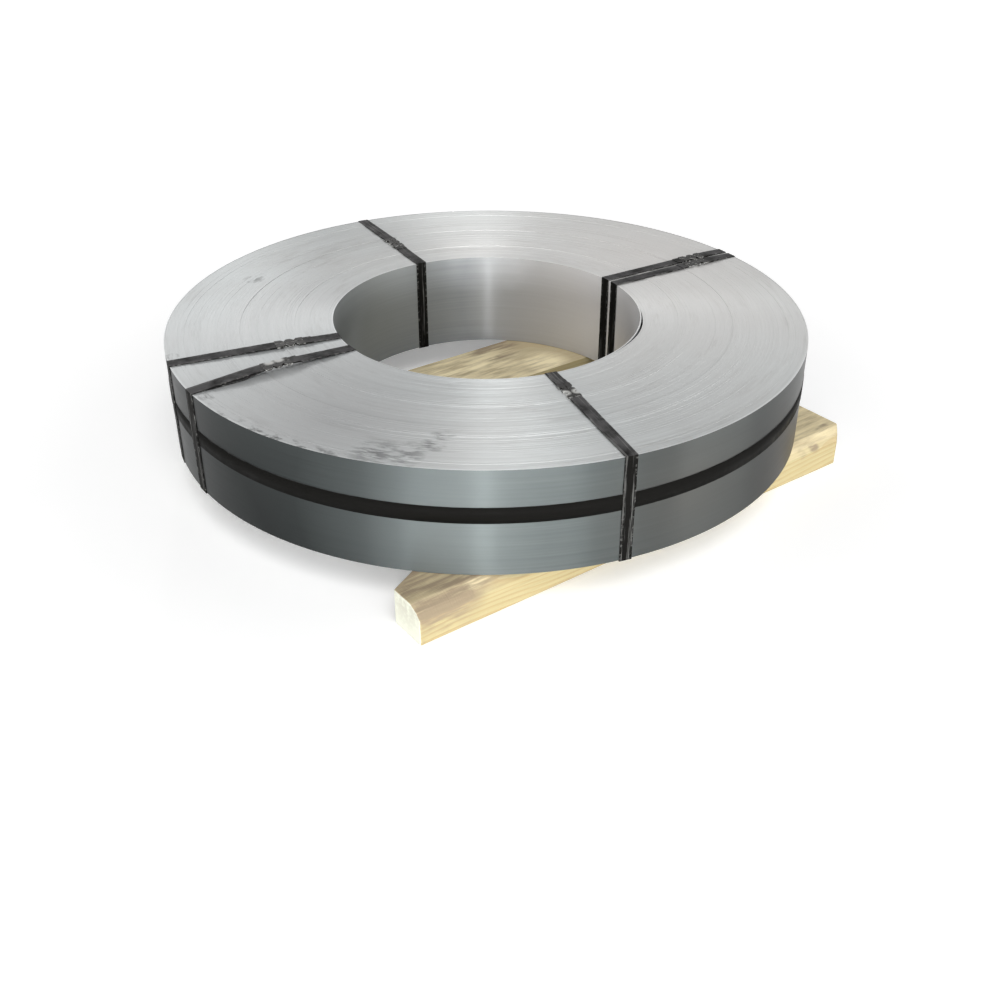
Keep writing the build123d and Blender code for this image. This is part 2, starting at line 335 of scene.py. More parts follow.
class Tree:
    """Node tree of one material, with short calls that add and join nodes."""

    def __init__(self, name):
        self.material = bpy.data.materials.new(name)
        self.material.use_nodes = True
        self.nodes = self.material.node_tree.nodes
        self.links = self.material.node_tree.links
        self.shader = self.nodes["Principled BSDF"]
        self.place = self.nodes.new("ShaderNodeTexCoord").outputs["Object"]

    def put(self, socket, value):
        """Join an output to a socket, or write a plain value into it."""
        if isinstance(value, bpy.types.NodeSocket):
            self.links.new(value, socket)
        else:
            socket.default_value = value

    def add(self, kind, *values, **settings):
        """Add a node, set its options, feed its inputs in order and return it."""
        node = self.nodes.new("ShaderNode" + kind)
        for key, value in settings.items():
            setattr(node, key, value)
        for socket, value in zip(node.inputs, values):
            self.put(socket, value)
        return node

    def math(self, operation, *values):
        """Result of one Math node."""
        return self.add("Math", *values, operation=operation).outputs[0]

    def times(self, first, second):
        """Product of two values."""
        return self.math("MULTIPLY", first, second)

    def plus(self, first, second):
        """Sum of two values."""
        return self.math("ADD", first, second)

    def most(self, first, second):
        """The higher of two values."""
        return self.math("MAXIMUM", first, second)

    def least(self, first, second):
        """The lower of two values."""
        return self.math("MINIMUM", first, second)

    def power(self, value, exponent):
        """A value raised to a power."""
        return self.math("POWER", value, exponent)

    def unsigned(self, value):
        """A value without its sign."""
        return self.math("ABSOLUTE", value)

    def mix(self, first, second, share):
        """Sum of two values, of which the first has the given share."""
        return self.plus(self.times(first, share), self.times(second, 1.0 - share))

    def vector(self, operation, *values):
        """Vector result of one Vector Math node."""
        return self.add("VectorMath", *values, operation=operation).outputs["Vector"]

    def length(self, value):
        """Length of a vector."""
        return self.add("VectorMath", value, operation="LENGTH").outputs["Value"]

    def facing(self):
        """The three parts of the direction that the face itself points in."""
        geometry = self.nodes.new("ShaderNodeNewGeometry")
        return self.add("SeparateXYZ", geometry.outputs["True Normal"]).outputs

    def noise(self, vector, scale=1.0, detail=2.0, roughness=0.5):
        """Value of a noise texture, about 0.5 on average."""
        node = self.nodes.new("ShaderNodeTexNoise")
        self.links.new(vector, node.inputs["Vector"])
        node.inputs["Scale"].default_value = scale
        node.inputs["Detail"].default_value = detail
        node.inputs["Roughness"].default_value = roughness
        return node.outputs["Fac"]

    def spread(self, value, low, high, to_low=0.0, to_high=1.0):
        """Map a value from one range to another, and stop at the ends."""
        node = self.add("MapRange", value, low, high, to_low, to_high)
        node.clamp = True
        return node.outputs["Result"]

    def blend(self, factor, first, second):
        """Mix two colours."""
        node = self.nodes.new("ShaderNodeMix")
        node.data_type = "RGBA"
        self.put(node.inputs[0], factor)
        for socket, colour in ((node.inputs[6], first), (node.inputs[7], second)):
            self.put(socket, colour if isinstance(colour, bpy.types.NodeSocket) else (*colour, 1.0))
        return node.outputs[2]

    def stretched(self, scale):
        """Place on the object, scaled along its axes by a Mapping node."""
        node = self.nodes.new("ShaderNodeMapping")
        self.links.new(self.place, node.inputs["Vector"])
        node.inputs["Scale"].default_value = scale
        return node.outputs["Vector"]

    def bump(self, height, distance, strength):
        """Feed a height into the shader's normal."""
        node = self.nodes.new("ShaderNodeBump")
        node.inputs["Strength"].default_value = strength
        node.inputs["Distance"].default_value = distance
        self.links.new(height, node.inputs["Height"])
        self.links.new(node.outputs["Normal"], self.shader.inputs["Normal"])

    def finish(self, colour, roughness, metallic=0.0):
        """Feed the shader's main inputs and return the material."""
        self.put(self.shader.inputs["Base Color"], colour)
        self.put(self.shader.inputs["Roughness"], roughness)
        self.shader.inputs["Metallic"].default_value = metallic
        return self.material


def tinted(colour, share):
    """A colour made darker or lighter by a share."""
    return [share * part for part in colour]


def brushed_round_axis(tree, amount):
    """Make the metal's sheen follow the turns, as rolled or slit steel does."""
    around = tree.vector("NORMALIZE", tree.vector("CROSS_PRODUCT", (0.0, 0.0, 1.0), tree.place))
    tree.links.new(around, tree.shader.inputs["Tangent"])
    tree.shader.inputs["Anisotropic"].default_value = amount
    tree.shader.inputs["Anisotropic Rotation"].default_value = 0.25


def from_axis(tree):
    """Place on the object, without its height."""
    return tree.vector("MULTIPLY", tree.place, (1.0, 1.0, 0.0))


def polar_vector(tree, across, around):
    """Vector whose third part follows the radius and whose others follow the angle, with no seam."""
    flat = from_axis(tree)
    swing_part = tree.vector("MULTIPLY", tree.vector("NORMALIZE", flat), (around, around, 0.0))
    reach = tree.times(tree.length(flat), across)
    radial = tree.add("CombineXYZ", 0.0, 0.0, reach).outputs[0]
    return tree.vector("ADD", swing_part, radial)


def patch(tree, centre, size):
    """1 at a place on the surface, falling to 0 at the given distance from it."""
    offset = tree.vector("SUBTRACT", tree.place, centre)
    return tree.spread(tree.length(offset), 0.0, size, 1.0, 0.0)


def lay_light_and_shade(tree, colour, light_and_shade_patches):
    """Lay patches of painted light and shade over a colour, each strongest at its middle."""
    for centre, reach, strength, film in light_and_shade_patches:
        colour = tree.blend(tree.times(patch(tree, centre, reach), strength), colour, film)
    return colour


def slit_edge_material(settings):
    """Bright cut edges of the turns, with fine turn lines, rub marks, smudges and dirty spots, a painted
    highlight on the rims and patches of painted light and shade.
    """
    tree = Tree("slit_edges")
    fine = tree.noise(polar_vector(tree, 500.0, 1.5), roughness=0.75)
    short = tree.noise(polar_vector(tree, 420.0, 14.0))
    bands = tree.noise(polar_vector(tree, 60.0, 0.6), detail=3.0)
    lines = tree.mix(fine, short, 0.6)
    shade = tree.mix(lines, bands, 0.6)
    darker = tinted(settings.edge_colour, 0.78)
    colour = tree.blend(tree.spread(shade, 0.35, 0.65), darker, settings.edge_colour)
    cloudy = tree.spread(tree.noise(tree.place, scale=5.0, detail=3.0), 0.35, 0.7)
    colour = tree.blend(tree.times(cloudy, 0.35), colour, CLOUD_COLOUR)
    # painted highlight along the outer and inner rims
    reach = tree.length(from_axis(tree))
    rim = tree.most(tree.spread(reach, 0.5185, 0.5205), tree.spread(reach, 0.2562, 0.2558))
    colour = tree.blend(tree.times(rim, 0.4), colour, RIM_HIGHLIGHT_COLOUR)
    # oily smears along the turns
    streaks = tree.noise(polar_vector(tree, 260.0, 9.0), detail=4.0, roughness=0.7)
    smears = tree.noise(polar_vector(tree, 30.0, 2.5), detail=3.0, roughness=0.6)
    grime = tree.times(tree.spread(smears, 0.52, 0.66), tree.spread(streaks, 0.42, 0.60))
    colour = tree.blend(tree.times(grime, 0.30), colour, GRIME_COLOUR)
    # painted light and shade on the top
    colour = lay_light_and_shade(tree, colour, TOP_LIGHT_AND_SHADE)
    # dark smudges, and dirt along a stretch of the outer rim
    spots = 0.0
    for x, y, size in SMUDGES:
        spots = tree.most(spots, patch(tree, (x, y, COIL_HIGH.z), size))
    flecks = tree.noise(polar_vector(tree, 150.0, 20.0), detail=3.0, roughness=0.6)
    marks = tree.times(tree.power(spots, 0.6), tree.spread(flecks, 0.44, 0.58))
    chips = tree.noise(polar_vector(tree, 90.0, 24.0), detail=3.0, roughness=0.6)
    stretch = tree.power(patch(tree, *DIRTY_RIM), 0.5)
    by_rim = tree.times(tree.spread(reach, 0.506, 0.516), stretch)
    marks = tree.most(marks, tree.times(by_rim, tree.spread(chips, 0.52, 0.62)))
    colour = tree.blend(tree.times(marks, 0.72), colour, DIRT_COLOUR)
    brushed_round_axis(tree, 0.92)
    tree.bump(lines, 0.0008, 0.22)
    return tree.finish(colour, tree.spread(shade, 0.3, 0.7, 0.46, 0.58), 0.35)


def strip_face_material(name, tone_colour, dull, metallic, light_and_shade_patches):
    """Rolled surface of the strip, with faint rolling lines and scuffs, and patches of painted light and
    shade.
    """
    tree = Tree(name)
    lines = tree.noise(tree.stretched((3.0, 3.0, 260.0)), detail=4.0, roughness=0.65)
    clouds = tree.noise(tree.place, scale=3.0, detail=3.0)
    stains = tree.noise(tree.stretched((4.0, 4.0, 14.0)), detail=4.0, roughness=0.6)
    tone = tree.mix(lines, clouds, 0.5)
    darker, lighter = tinted(tone_colour, 0.82), tinted(tone_colour, 1.08)
    colour = tree.blend(tree.spread(tone, 0.35, 0.65), darker, lighter)
    colour = tree.blend(tree.spread(stains, 0.55, 0.8, 0.0, 0.30), colour, tinted(tone_colour, 0.6))
    # patches of painted light and shade
    colour = lay_light_and_shade(tree, colour, light_and_shade_patches)
    brushed_round_axis(tree, 1.0)
    tree.bump(lines, 0.0002, 0.12)
    return tree.finish(colour, tree.spread(tone, 0.3, 0.7, dull - 0.03, dull + 0.04), metallic)


def strap_material(settings):
    """Black painted and waxed strapping: dusty film with painted sheen on upper faces, rubbed edges and
    bright specks along them.
    """
    tree = Tree("strap_paint")
    film = tree.noise(tree.place, scale=30.0, detail=4.0, roughness=0.6)
    specks = tree.noise(tree.place, scale=190.0, roughness=0.6)
    across = tree.add("Attribute", attribute_name="across").outputs["Fac"]
    by_edge = tree.spread(tree.unsigned(across), 0.55, 0.95)
    sideways = tree.add("CombineXYZ", tree.times(across, 2.6), 0.0, 0.0).outputs[0]
    along = tree.vector("ADD", sideways, tree.vector("MULTIPLY", tree.place, (7.0, 7.0, 7.0)))
    scratches = tree.noise(along, detail=4.0, roughness=0.7)
    upward = tree.spread(tree.facing()[2], 0.5, 0.9)
    # upper faces lighter: dust and painted sheen
    dust_and_sheen = tree.times(upward, tree.spread(film, 0.35, 0.62))
    colour = tree.blend(tree.times(dust_and_sheen, 0.85), settings.colour, DUST_AND_SHEEN_COLOUR)
    worn = tree.times(by_edge, tree.spread(specks, 0.52, 0.68))
    off_middle = tree.spread(tree.unsigned(across), 0.0, 0.05)
    lines = tree.times(tree.spread(scratches, 0.56, 0.66), off_middle)
    bare = tree.most(tree.times(worn, 0.28), tree.times(lines, 0.22))
    colour = tree.blend(bare, colour, settings.worn_colour)
    tree.shader.inputs["Specular IOR Level"].default_value = 0.02
    tree.bump(film, 0.0004, 0.3)
    return tree.finish(colour, tree.spread(film, 0.3, 0.7, 0.42, 0.6))


def seal_material(settings):
    """Pressed seals: dark sheet that is rubbed bright on its ribs and notches."""
    tree = Tree("seal_sheet")
    film = tree.noise(tree.place, scale=90.0, detail=3.0, roughness=0.6)
    specks = tree.noise(tree.place, scale=220.0, roughness=0.6)
    tilted = tree.spread(tree.unsigned(tree.facing()[2]), 0.60, 0.30)
    height = tree.add("SeparateXYZ", tree.place).outputs[2]
    fold = tree.times(tilted, tree.spread(height, 0.19, 0.21, 0.2, 1.0))
    rubbed = tree.times(fold, tree.spread(specks, 0.42, 0.62, 0.0, 0.7))
    for place in BRIGHT_NOTCHES:
        rubbed = tree.most(rubbed, tree.times(patch(tree, place, BRIGHT_REACH), 2.0))
    colour = tree.blend(tree.spread(film, 0.40, 0.70), *SEAL_COLOURS)
    colour = tree.blend(tree.least(rubbed, 0.9), colour, settings.worn_colour)
    tree.shader.inputs["Specular IOR Level"].default_value = 0.12
    tree.bump(film, 0.0005, 0.3)
    return tree.finish(colour, tree.spread(film, 0.3, 0.7, 0.40, 0.58))


def wood_material(name, settings, pith, stains, painted_light_patches, painted_light_colour):
    """Sawn softwood: growth rings round a line along X, pale ends, saw marks, stains, a painted shadow and
    patches of painted light.
    """
    tree = Tree(name)
    wander = tree.noise(tree.stretched((1.6, 5.0, 5.0)))
    from_pith = tree.vector("SUBTRACT", tree.place, (0.0, *pith))
    across = tree.vector("MULTIPLY", from_pith, (0.0, 1.0, 1.0))
    radius = tree.plus(tree.length(across), tree.times(wander, 0.05))
    late = tree.power(tree.math("FRACT", tree.times(radius, 190.0)), 2.5)
    fibres = tree.noise(tree.stretched((9.0, 380.0, 380.0)), detail=3.0, roughness=0.6)
    facing = tree.facing()
    end = tree.spread(tree.unsigned(facing[0]), 0.6, 0.9)
    top = tree.spread(facing[2], 0.6, 0.9)
    colour = tree.blend(tree.times(late, 0.75), settings.early_colour, settings.late_colour)
    dark_fibres = tinted(settings.late_colour, 0.62)
    colour = tree.blend(tree.spread(fibres, 0.3, 0.75, 0.0, 0.35), colour, dark_fibres)
    colour = tree.blend(tree.times(top, 0.60), colour, settings.top_colour)
    colour = tree.blend(tree.times(end, 0.90), colour, settings.end_colour)
    # weather, which gives the patches of painted light, the stains and the painted shadow their ragged edges
    weather = tree.noise(tree.stretched((7.0, 20.0, 20.0)), detail=5.0, roughness=0.65)
    streaks = tree.noise(tree.stretched((14.0, 120.0, 120.0)), detail=3.0, roughness=0.6)
    patchy = tree.mix(weather, streaks, 0.45)
    # painted light on the tops, at the listed patches
    clean = 0.0
    for centre, size in painted_light_patches:
        clean = tree.most(clean, tree.times(patch(tree, centre, size), 1.8))
    clean = tree.times(tree.least(clean, top), tree.spread(patchy, 0.62, 0.42))
    colour = tree.blend(tree.times(clean, 0.88), colour, painted_light_colour)
    stain_and_shadow = tree.spread(patchy, 0.54, 0.72, 0.0, 0.30)
    # listed stains; those on the middle bearer are a painted shadow
    for centre, size in stains:
        near = tree.least(tree.times(patch(tree, centre, size), 2.4), 1.0)
        stain_and_shadow = tree.most(stain_and_shadow, tree.times(near, tree.spread(patchy, 0.40, 0.56)))
    unstained = tree.most(clean, tree.times(end, 0.6))
    stain_and_shadow = tree.times(stain_and_shadow, tree.math("SUBTRACT", 1.0, unstained))
    colour = tree.blend(tree.least(stain_and_shadow, 0.80), colour, settings.stain_and_shadow_colour)
    saw = tree.noise(tree.stretched((420.0, 12.0, 12.0)))
    tree.bump(tree.plus(tree.times(saw, 0.5), tree.times(fibres, 0.8)), 0.0015, 0.5)
    return tree.finish(colour, 0.72)


def add_object(name, data):
    """Put a new object into the scene."""
    thing = bpy.data.objects.new(name, data)
    bpy.context.scene.collection.objects.link(thing)
    return thing


def new_mesh(bm, name, materials):
    """Turn a bmesh into a mesh with its materials."""
    mesh = bpy.data.meshes.new(name)
    bm.to_mesh(mesh)
    bm.free()
    for material in materials:
        mesh.materials.append(material)
    return mesh


def new_piece(bm, name, materials, node):
    """Turn a bmesh into an object of the part, with its materials, body and replaced node."""
    piece = add_object(name, new_mesh(bm, name, materials))
    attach(piece, "root")
    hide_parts(node)


def join_ring(bm, points):
    """Closed chain of edges through points of the XZ plane."""
    verts = [bm.verts.new((x, 0.0, z)) for x, z in points]
    return verts + [bm.edges.new((a, b)) for a, b in zip(verts, verts[1:] + verts[:1])]


def turn_round(bm, geometry, steps):
    """Turn a closed section once round the axis, and join the end of the turn to its start."""
    bmesh.ops.spin(
        bm, geom=geometry, cent=(0, 0, 0), axis=(0, 0, 1), angle=2 * math.pi,
        steps=steps, use_merge=True, use_duplicate=False,
    )


def swing(bm, azimuth):
    """Turn a mesh about the axis to its azimuth, in degrees."""
    turn = Matrix.Rotation(math.radians(azimuth), 3, "Z")
    bmesh.ops.rotate(bm, verts=bm.verts, cent=(0, 0, 0), matrix=turn)


def turn_height(index, count, relief):
    """How far one turn stands back from the end face: bands and small steps together."""
    band = 0.5 + 0.5 * math.sin(BAND_PHASE * int(index / count * BAND_COUNT))
    step = 0.5 + noise.noise(Vector((index * 0.91, 3.7, 1.3)))
    share = BAND_SHARE * band + STEP_SHARE * step + BASE_SHARE
    return relief * min(1.0, max(LEAST_SHARE, share))


def wound_section(settings):
    """Outline of the pack's section: a step for each turn on top, and for each few turns below."""
    inner, outer = settings.bore_radius + settings.strip, settings.radius - settings.strip
    turns = round((outer - inner) / settings.strip)
    pitch = (outer - inner) / turns
    points = []
    for index in range(turns):
        z = COIL_HIGH.z - turn_height(index, turns, settings.relief)
        points += [(inner + index * pitch, z), (inner + (index + TURN_FLAT) * pitch, z)]
    for index in reversed(range(0, turns, LOWER_GROUP)):
        z = COIL_LOW.z + turn_height(index + LOWER_GROUP // 2, turns, settings.relief)
        points += [(inner + min(index + LOWER_GROUP, turns) * pitch, z), (inner + index * pitch, z)]
    return points


def stand_off(bm, first):
    """Press the pack's first turns away from the inner turn over a short stretch of the eye."""
    for vert in bm.verts:
        reach = vert.co.xy.length
        turn = math.degrees(math.atan2(vert.co.y, vert.co.x)) - STAND_OFF_AZIMUTH
        turn = abs(turn) / STAND_OFF_ANGLE
        if vert.co.z > HALF_HEIGHT and reach < first + STAND_OFF_REACH and turn < 1.0:
            gap = STAND_OFF_GAP * math.cos(0.5 * math.pi * turn) ** 2
            squeeze = (STAND_OFF_REACH - gap) / STAND_OFF_REACH
            vert.co.xy *= (first + gap + (reach - first) * squeeze) / reach


def shade_round_walls(bm):
    """Smooth the tall walls between sharp rims, leave the rest flat, and give walls the second material."""
    bm.normal_update()
    for face in bm.faces:
        heights = [vert.co.z for vert in face.verts]
        wall = abs(face.normal.z) < WALL_TILT and max(heights) - min(heights) > WALL_HEIGHT
        face.smooth = wall
        face.material_index = 1 if wall else 0
    for edge in bm.edges:
        walls = all(face.smooth for face in edge.link_faces)
        edge.smooth = walls and edge.calc_face_angle(OPEN_EDGE_ANGLE) < SHARP_ANGLE


class COIL_OT_wind_pack(bpy.types.Operator):
    """Wind the pack of turns"""

    bl_idname = "coil.wind_pack"
    bl_label = "Pack of turns"

    def execute(self, context):
        settings = context.scene.coil_settings
        bm = bmesh.new()
        turn_round(bm, join_ring(bm, wound_section(settings)), settings.segments)
        stand_off(bm, settings.bore_radius + settings.strip)
        bmesh.ops.recalc_face_normals(bm, faces=bm.faces)
        shade_round_walls(bm)
        # painted shade on the left and far right of the outside, painted light left and right of its front
        light_and_shade_patches = (
            ((-0.52, 0.08, -0.05), 0.56, 1.9, tinted(settings.face_colour, 0.25)),
            ((-0.38, -0.36, 0.13), 0.18, 0.7, tinted(settings.face_colour, 1.45)),
            ((-0.03, -0.51, 0.14), 0.17, 0.8, (0.145, 0.143, 0.133)),
            ((0.24, -0.46, 0.09), 0.30, 1.0, (0.040, 0.036, 0.031)),
        )
        edges = slit_edge_material(settings)
        face = strip_face_material("strip_face", settings.face_colour, 0.36, 0.95, light_and_shade_patches)
        new_piece(bm, "coil_pack", [edges, face], "coil")
        return {"FINISHED"}


def single_turn(settings, name, radius, azimuth, ends, face):
    """One turn of strip, whose start and end lie a little apart."""
    low, high = COIL_LOW.z + ends[0], COIL_HIGH.z - ends[1]
    outer = radius + settings.strip * TURN_FILL
    bm = bmesh.new()
    corners = ((radius, low), (outer, low), (outer, high), (radius, high))
    section = bm.faces.new([bm.verts.new((x, 0.0, z)) for x, z in corners])
    bmesh.ops.spin(
        bm, geom=[section], cent=(0, 0, 0), axis=(0, 0, 1), angle=math.radians(TURN_ANGLE),
        steps=settings.segments, use_merge=False, use_duplicate=False,
    )
    swing(bm, azimuth)
    bmesh.ops.recalc_face_normals(bm, faces=bm.faces)
    shade_round_walls(bm)
    new_piece(bm, name, [bpy.data.materials["slit_edges"], face], "coil")


class COIL_OT_outer_turns(bpy.types.Operator):
    """Lay the outer and the inner turn"""

    bl_idname = "coil.outer_turns"
    bl_label = "Outer and inner turn"

    def execute(self, context):
        settings = context.scene.coil_settings
        outside = bpy.data.materials["strip_face"]
        # lighter colour and patches of the eye wall: painted light and shade
        inside = strip_face_material("strip_inside", settings.inside_colour, 0.35, 0.4, EYE_LIGHT_AND_SHADE)
        outer = settings.radius - settings.strip
        single_turn(settings, "outer_turn", outer, OUTER_TURN_AZIMUTH, OUTER_TURN_ENDS, outside)
        inner = settings.bore_radius
        single_turn(settings, "inner_turn", inner, INNER_TURN_AZIMUTH, INNER_TURN_ENDS, inside)
        return {"FINISHED"}


def strap_points(seal, lift, tail, settings, coil):
    """Side view of an eye strap's outer skin: lower end, eye, underside, outside and upper end."""
    thick = settings.thickness
    bottom = COIL_LOW.z - RIM_GAP - thick
    top = COIL_HIGH.z + RIM_GAP + thick
    wall = coil.bore_radius - STRAP_GAP - thick
    outer = coil.radius + RIM_GAP + thick
    over = coil.radius + CROSSING_GAP + 2 * thick
    belly = COIL_LOW.z + settings.belly_height
    reach = settings.belly_width / 2
    lower = COIL_HIGH.z + lift + SEAL_FLOOR + thick
    upper = lower + thick + STRAP_GAP
    far, near = NOTCH_PLACE + NOTCH_HALF_WIDTH, NOTCH_PLACE - NOTCH_HALF_WIDTH
    notches = [seal + offset for offset in (far, near, -near, -far)]
    points = [(seal + SEAL_HALF + tail, lower)]
    if lift:
        points = [(seal + SEAL_HALF + tail, top), (seal + SLACK_START, top + SLACK_HUMP)]
        points.append((seal + SLACK_END, lower))
    points += [(x, lower) for x in notches]
    points += [
        (seal - SEAL_HALF, lower), (coil.bore_radius + LANDING, top), (wall, top),
        (wall, bottom), (outer, bottom),
        (outer, belly - reach - CROSSING_SLOPE), (over, belly - reach - CROSSING_STEP),
        (over, belly + reach + CROSSING_STEP), (outer, belly + reach + CROSSING_SLOPE),
        (outer, top), (seal + SEAL_HALF + UPPER_RISE, upper),
    ]
    points += [(x, upper) for x in notches]
    points.append((seal - SEAL_HALF - UPPER_TAIL, upper))
    return points


def strap_outline(bm, points):
    """Open chain of edges with rounded corners, and with its long edges divided."""
    verts = [bm.verts.new((x, 0.0, z)) for x, z in points]
    for a, b in zip(verts, verts[1:]):
        bm.edges.new((a, b))
    corners = []
    for before, vert, after in zip(verts, verts[1:], verts[2:]):
        if (vert.co - before.co).angle(after.co - vert.co) > STRAIGHT:
            corners.append(vert)
    bmesh.ops.bevel(
        bm, geom=corners, offset=BEND_RADIUS, offset_type="OFFSET", affect="VERTICES",
        segments=BEND_STEPS, profile=0.5, material=-1,
    )
    long_edges = [edge for edge in bm.edges if edge.calc_length() > LONG_EDGE]
    bmesh.ops.subdivide_edges(bm, edges=long_edges, cuts=LONG_EDGE_CUTS)


def widen(bm, across, width):
    """Draw the outline out to a strap, in rows that also end at the tips of the notches."""
    for vert in bm.verts:
        vert[across] = -1.0
    edges = list(bm.edges)
    place = 0.0
    for step in (EDGE_ROW, NOTCH_ROW, width - 2 * NOTCH_DEPTH, NOTCH_ROW, EDGE_ROW):
        place += step
        made = bmesh.ops.extrude_edge_only(bm, edges=edges)["geom"]
        moved = [part for part in made if isinstance(part, bmesh.types.BMVert)]
        edges = [part for part in made if isinstance(part, bmesh.types.BMEdge)]
        bmesh.ops.translate(bm, verts=moved, vec=(0.0, step, 0.0))
        for vert in moved:
            vert[across] = 2.0 * place / width - 1.0


def cut_notches(bm, seal, width):
    """Cut the notches out of both edges at the seal, and narrow them towards their tips."""
    gone = []
    for face in bm.faces:
        middle = face.calc_center_median()
        by_edge = min(middle.y, width - middle.y) < NOTCH_DEPTH
        at_notch = abs(abs(middle.x - seal) - NOTCH_PLACE) < NOTCH_HALF_WIDTH
        if middle.z > ABOVE_TOP and by_edge and at_notch:
            gone.append(face)
    bmesh.ops.delete(bm, geom=gone, context="FACES")
    for vert in bm.verts:
        offset = vert.co.x - seal
        at_tip = abs(min(vert.co.y, width - vert.co.y) - NOTCH_DEPTH) < SAME_PLACE
        at_side = abs(abs(abs(offset) - NOTCH_PLACE) - NOTCH_HALF_WIDTH) < SAME_PLACE
        if vert.co.z > ABOVE_TOP and at_tip and at_side:
            centre = seal + math.copysign(NOTCH_PLACE, offset)
            vert.co.x = centre + (vert.co.x - centre) * NOTCH_TIP


def follow_eye(bm, wall):
    """Bend the stretch of a strap on the wall of the eye to the wall's curve."""
    for vert in bm.verts:
        if vert.co.x - wall < EYE_WALL_DEPTH:
            vert.co.x += math.sqrt(wall ** 2 - vert.co.y ** 2) - wall


def eye_strap(context, name, azimuth, shift, width, share, lift, tail):
    """Flat steel strap bent round the section of the coil, notched where its seal sits."""
    settings = context.scene.strapping_settings
    coil = context.scene.coil_settings
    seal = coil.bore_radius + share * (coil.radius - coil.bore_radius)
    bm = bmesh.new()
    across = bm.verts.layers.float.new("across")
    strap_outline(bm, strap_points(seal, lift, tail, settings, coil))
    widen(bm, across, width)
    cut_notches(bm, seal, width)
    bmesh.ops.translate(bm, verts=bm.verts, vec=(0.0, shift - width / 2, 0.0))
    follow_eye(bm, coil.bore_radius - STRAP_GAP - settings.thickness)
    bmesh.ops.recalc_face_normals(bm, faces=bm.faces)
    skin = list(bm.faces) + list(bm.edges) + list(bm.verts)
    bmesh.ops.solidify(bm, geom=skin, thickness=settings.thickness)
    for vert in bm.verts:
        wave = noise.noise(Vector((vert.co.x * 14, azimuth, vert.co.z * 9)))
        vert.co.y += EDGE_WAVE * wave
    swing(bm, azimuth)
    bmesh.ops.recalc_face_normals(bm, faces=bm.faces)
    for face in bm.faces:
        face.smooth = False
    new_piece(bm, name + "_steel", [bpy.data.materials["strap_paint"]], name)


class COIL_OT_eye_straps(bpy.types.Operator):
    """Lay the straps that go through the eye"""

    bl_idname = "coil.eye_straps"
    bl_label = "Eye straps"

    def execute(self, context):
        strap_material(context.scene.strapping_settings)
        for row in EYE_STRAPS:
            eye_strap(context, *row)
        return {"FINISHED"}


class COIL_OT_belly_strap(bpy.types.Operator):
    """Lay the strap round the outside"""

    bl_idname = "coil.belly_strap"
    bl_label = "Belly strap"

    def execute(self, context):
        settings = context.scene.strapping_settings
        coil = context.scene.coil_settings
        inner = coil.radius - BELLY_SINK
        outer = inner + settings.thickness
        middle = COIL_LOW.z + settings.belly_height
        low, high = middle - settings.belly_width / 2, middle + settings.belly_width / 2
        bm = bmesh.new()
        section = join_ring(bm, ((inner, low), (outer, low), (outer, high), (inner, high)))
        turn_round(bm, section, coil.segments)
        bmesh.ops.recalc_face_normals(bm, faces=bm.faces)
        for face in bm.faces:
            face.smooth = abs(face.normal.z) < WALL_TILT
        paint = bpy.data.materials["strap_paint"]
        new_piece(bm, "belly_strap_steel", [paint], "belly_strap")
        return {"FINISHED"}


class COIL_OT_seals(bpy.types.Operator):
    """Give the pressed seals their finish"""

    bl_idname = "coil.seals"
    bl_label = "Seals"

    def execute(self, context):
        material = seal_material(context.scene.strapping_settings)
        for name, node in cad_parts.items():
            if "seal" in name:
                node.data.materials.clear()
                node.data.materials.append(material)
        return {"FINISHED"}


def cut(bm, point, normal, keep=False):
    """Cut along a plane; unless both sides are kept, drop the side that the normal points to and close it."""
    geometry = list(bm.verts) + list(bm.edges) + list(bm.faces)
    made = bmesh.ops.bisect_plane(
        bm, geom=geometry, plane_co=point, plane_no=normal, clear_outer=not keep, clear_inner=False,
    )["geom_cut"]
    if not keep:
        rim = [part for part in made if isinstance(part, bmesh.types.BMEdge)]
        bmesh.ops.contextual_create(bm, geom=rim)


def sawn_timber(low, high, cuts):
    """Bearer between two corners, cut by planes, with rounded arrises and a grid on its faces."""
    bm = bmesh.new()
    bmesh.ops.create_cube(bm, size=1.0)
    size = high - low
    bmesh.ops.scale(bm, verts=bm.verts, vec=size)
    bmesh.ops.translate(bm, verts=bm.verts, vec=(low + high) / 2)
    for point, normal in cuts:
        cut(bm, point, normal)
    bmesh.ops.bevel(
        bm, geom=list(bm.edges), offset=ARRIS, offset_type="OFFSET", affect="EDGES",
        segments=2, profile=0.5, material=-1,
    )
    for axis, count in enumerate(GRID):
        normal = Vector((0, 0, 0))
        normal[axis] = 1.0
        for index in range(1, count):
            point = low.copy()
            point[axis] += size[axis] * index / count
            cut(bm, point, normal, keep=True)
    return bm


def under_strap(x, y):
    """Whether one of the eye straps crosses a bearer at this place."""
    for _, azimuth, shift, width, *_ in EYE_STRAPS:
        angle = math.radians(azimuth)
        along = x * math.cos(angle) + y * math.sin(angle)
        off = abs(y * math.cos(angle) - x * math.sin(angle) - shift)
        if along > DENT_START and off < width / 2 + DENT_MARGIN:
            return True
    return False


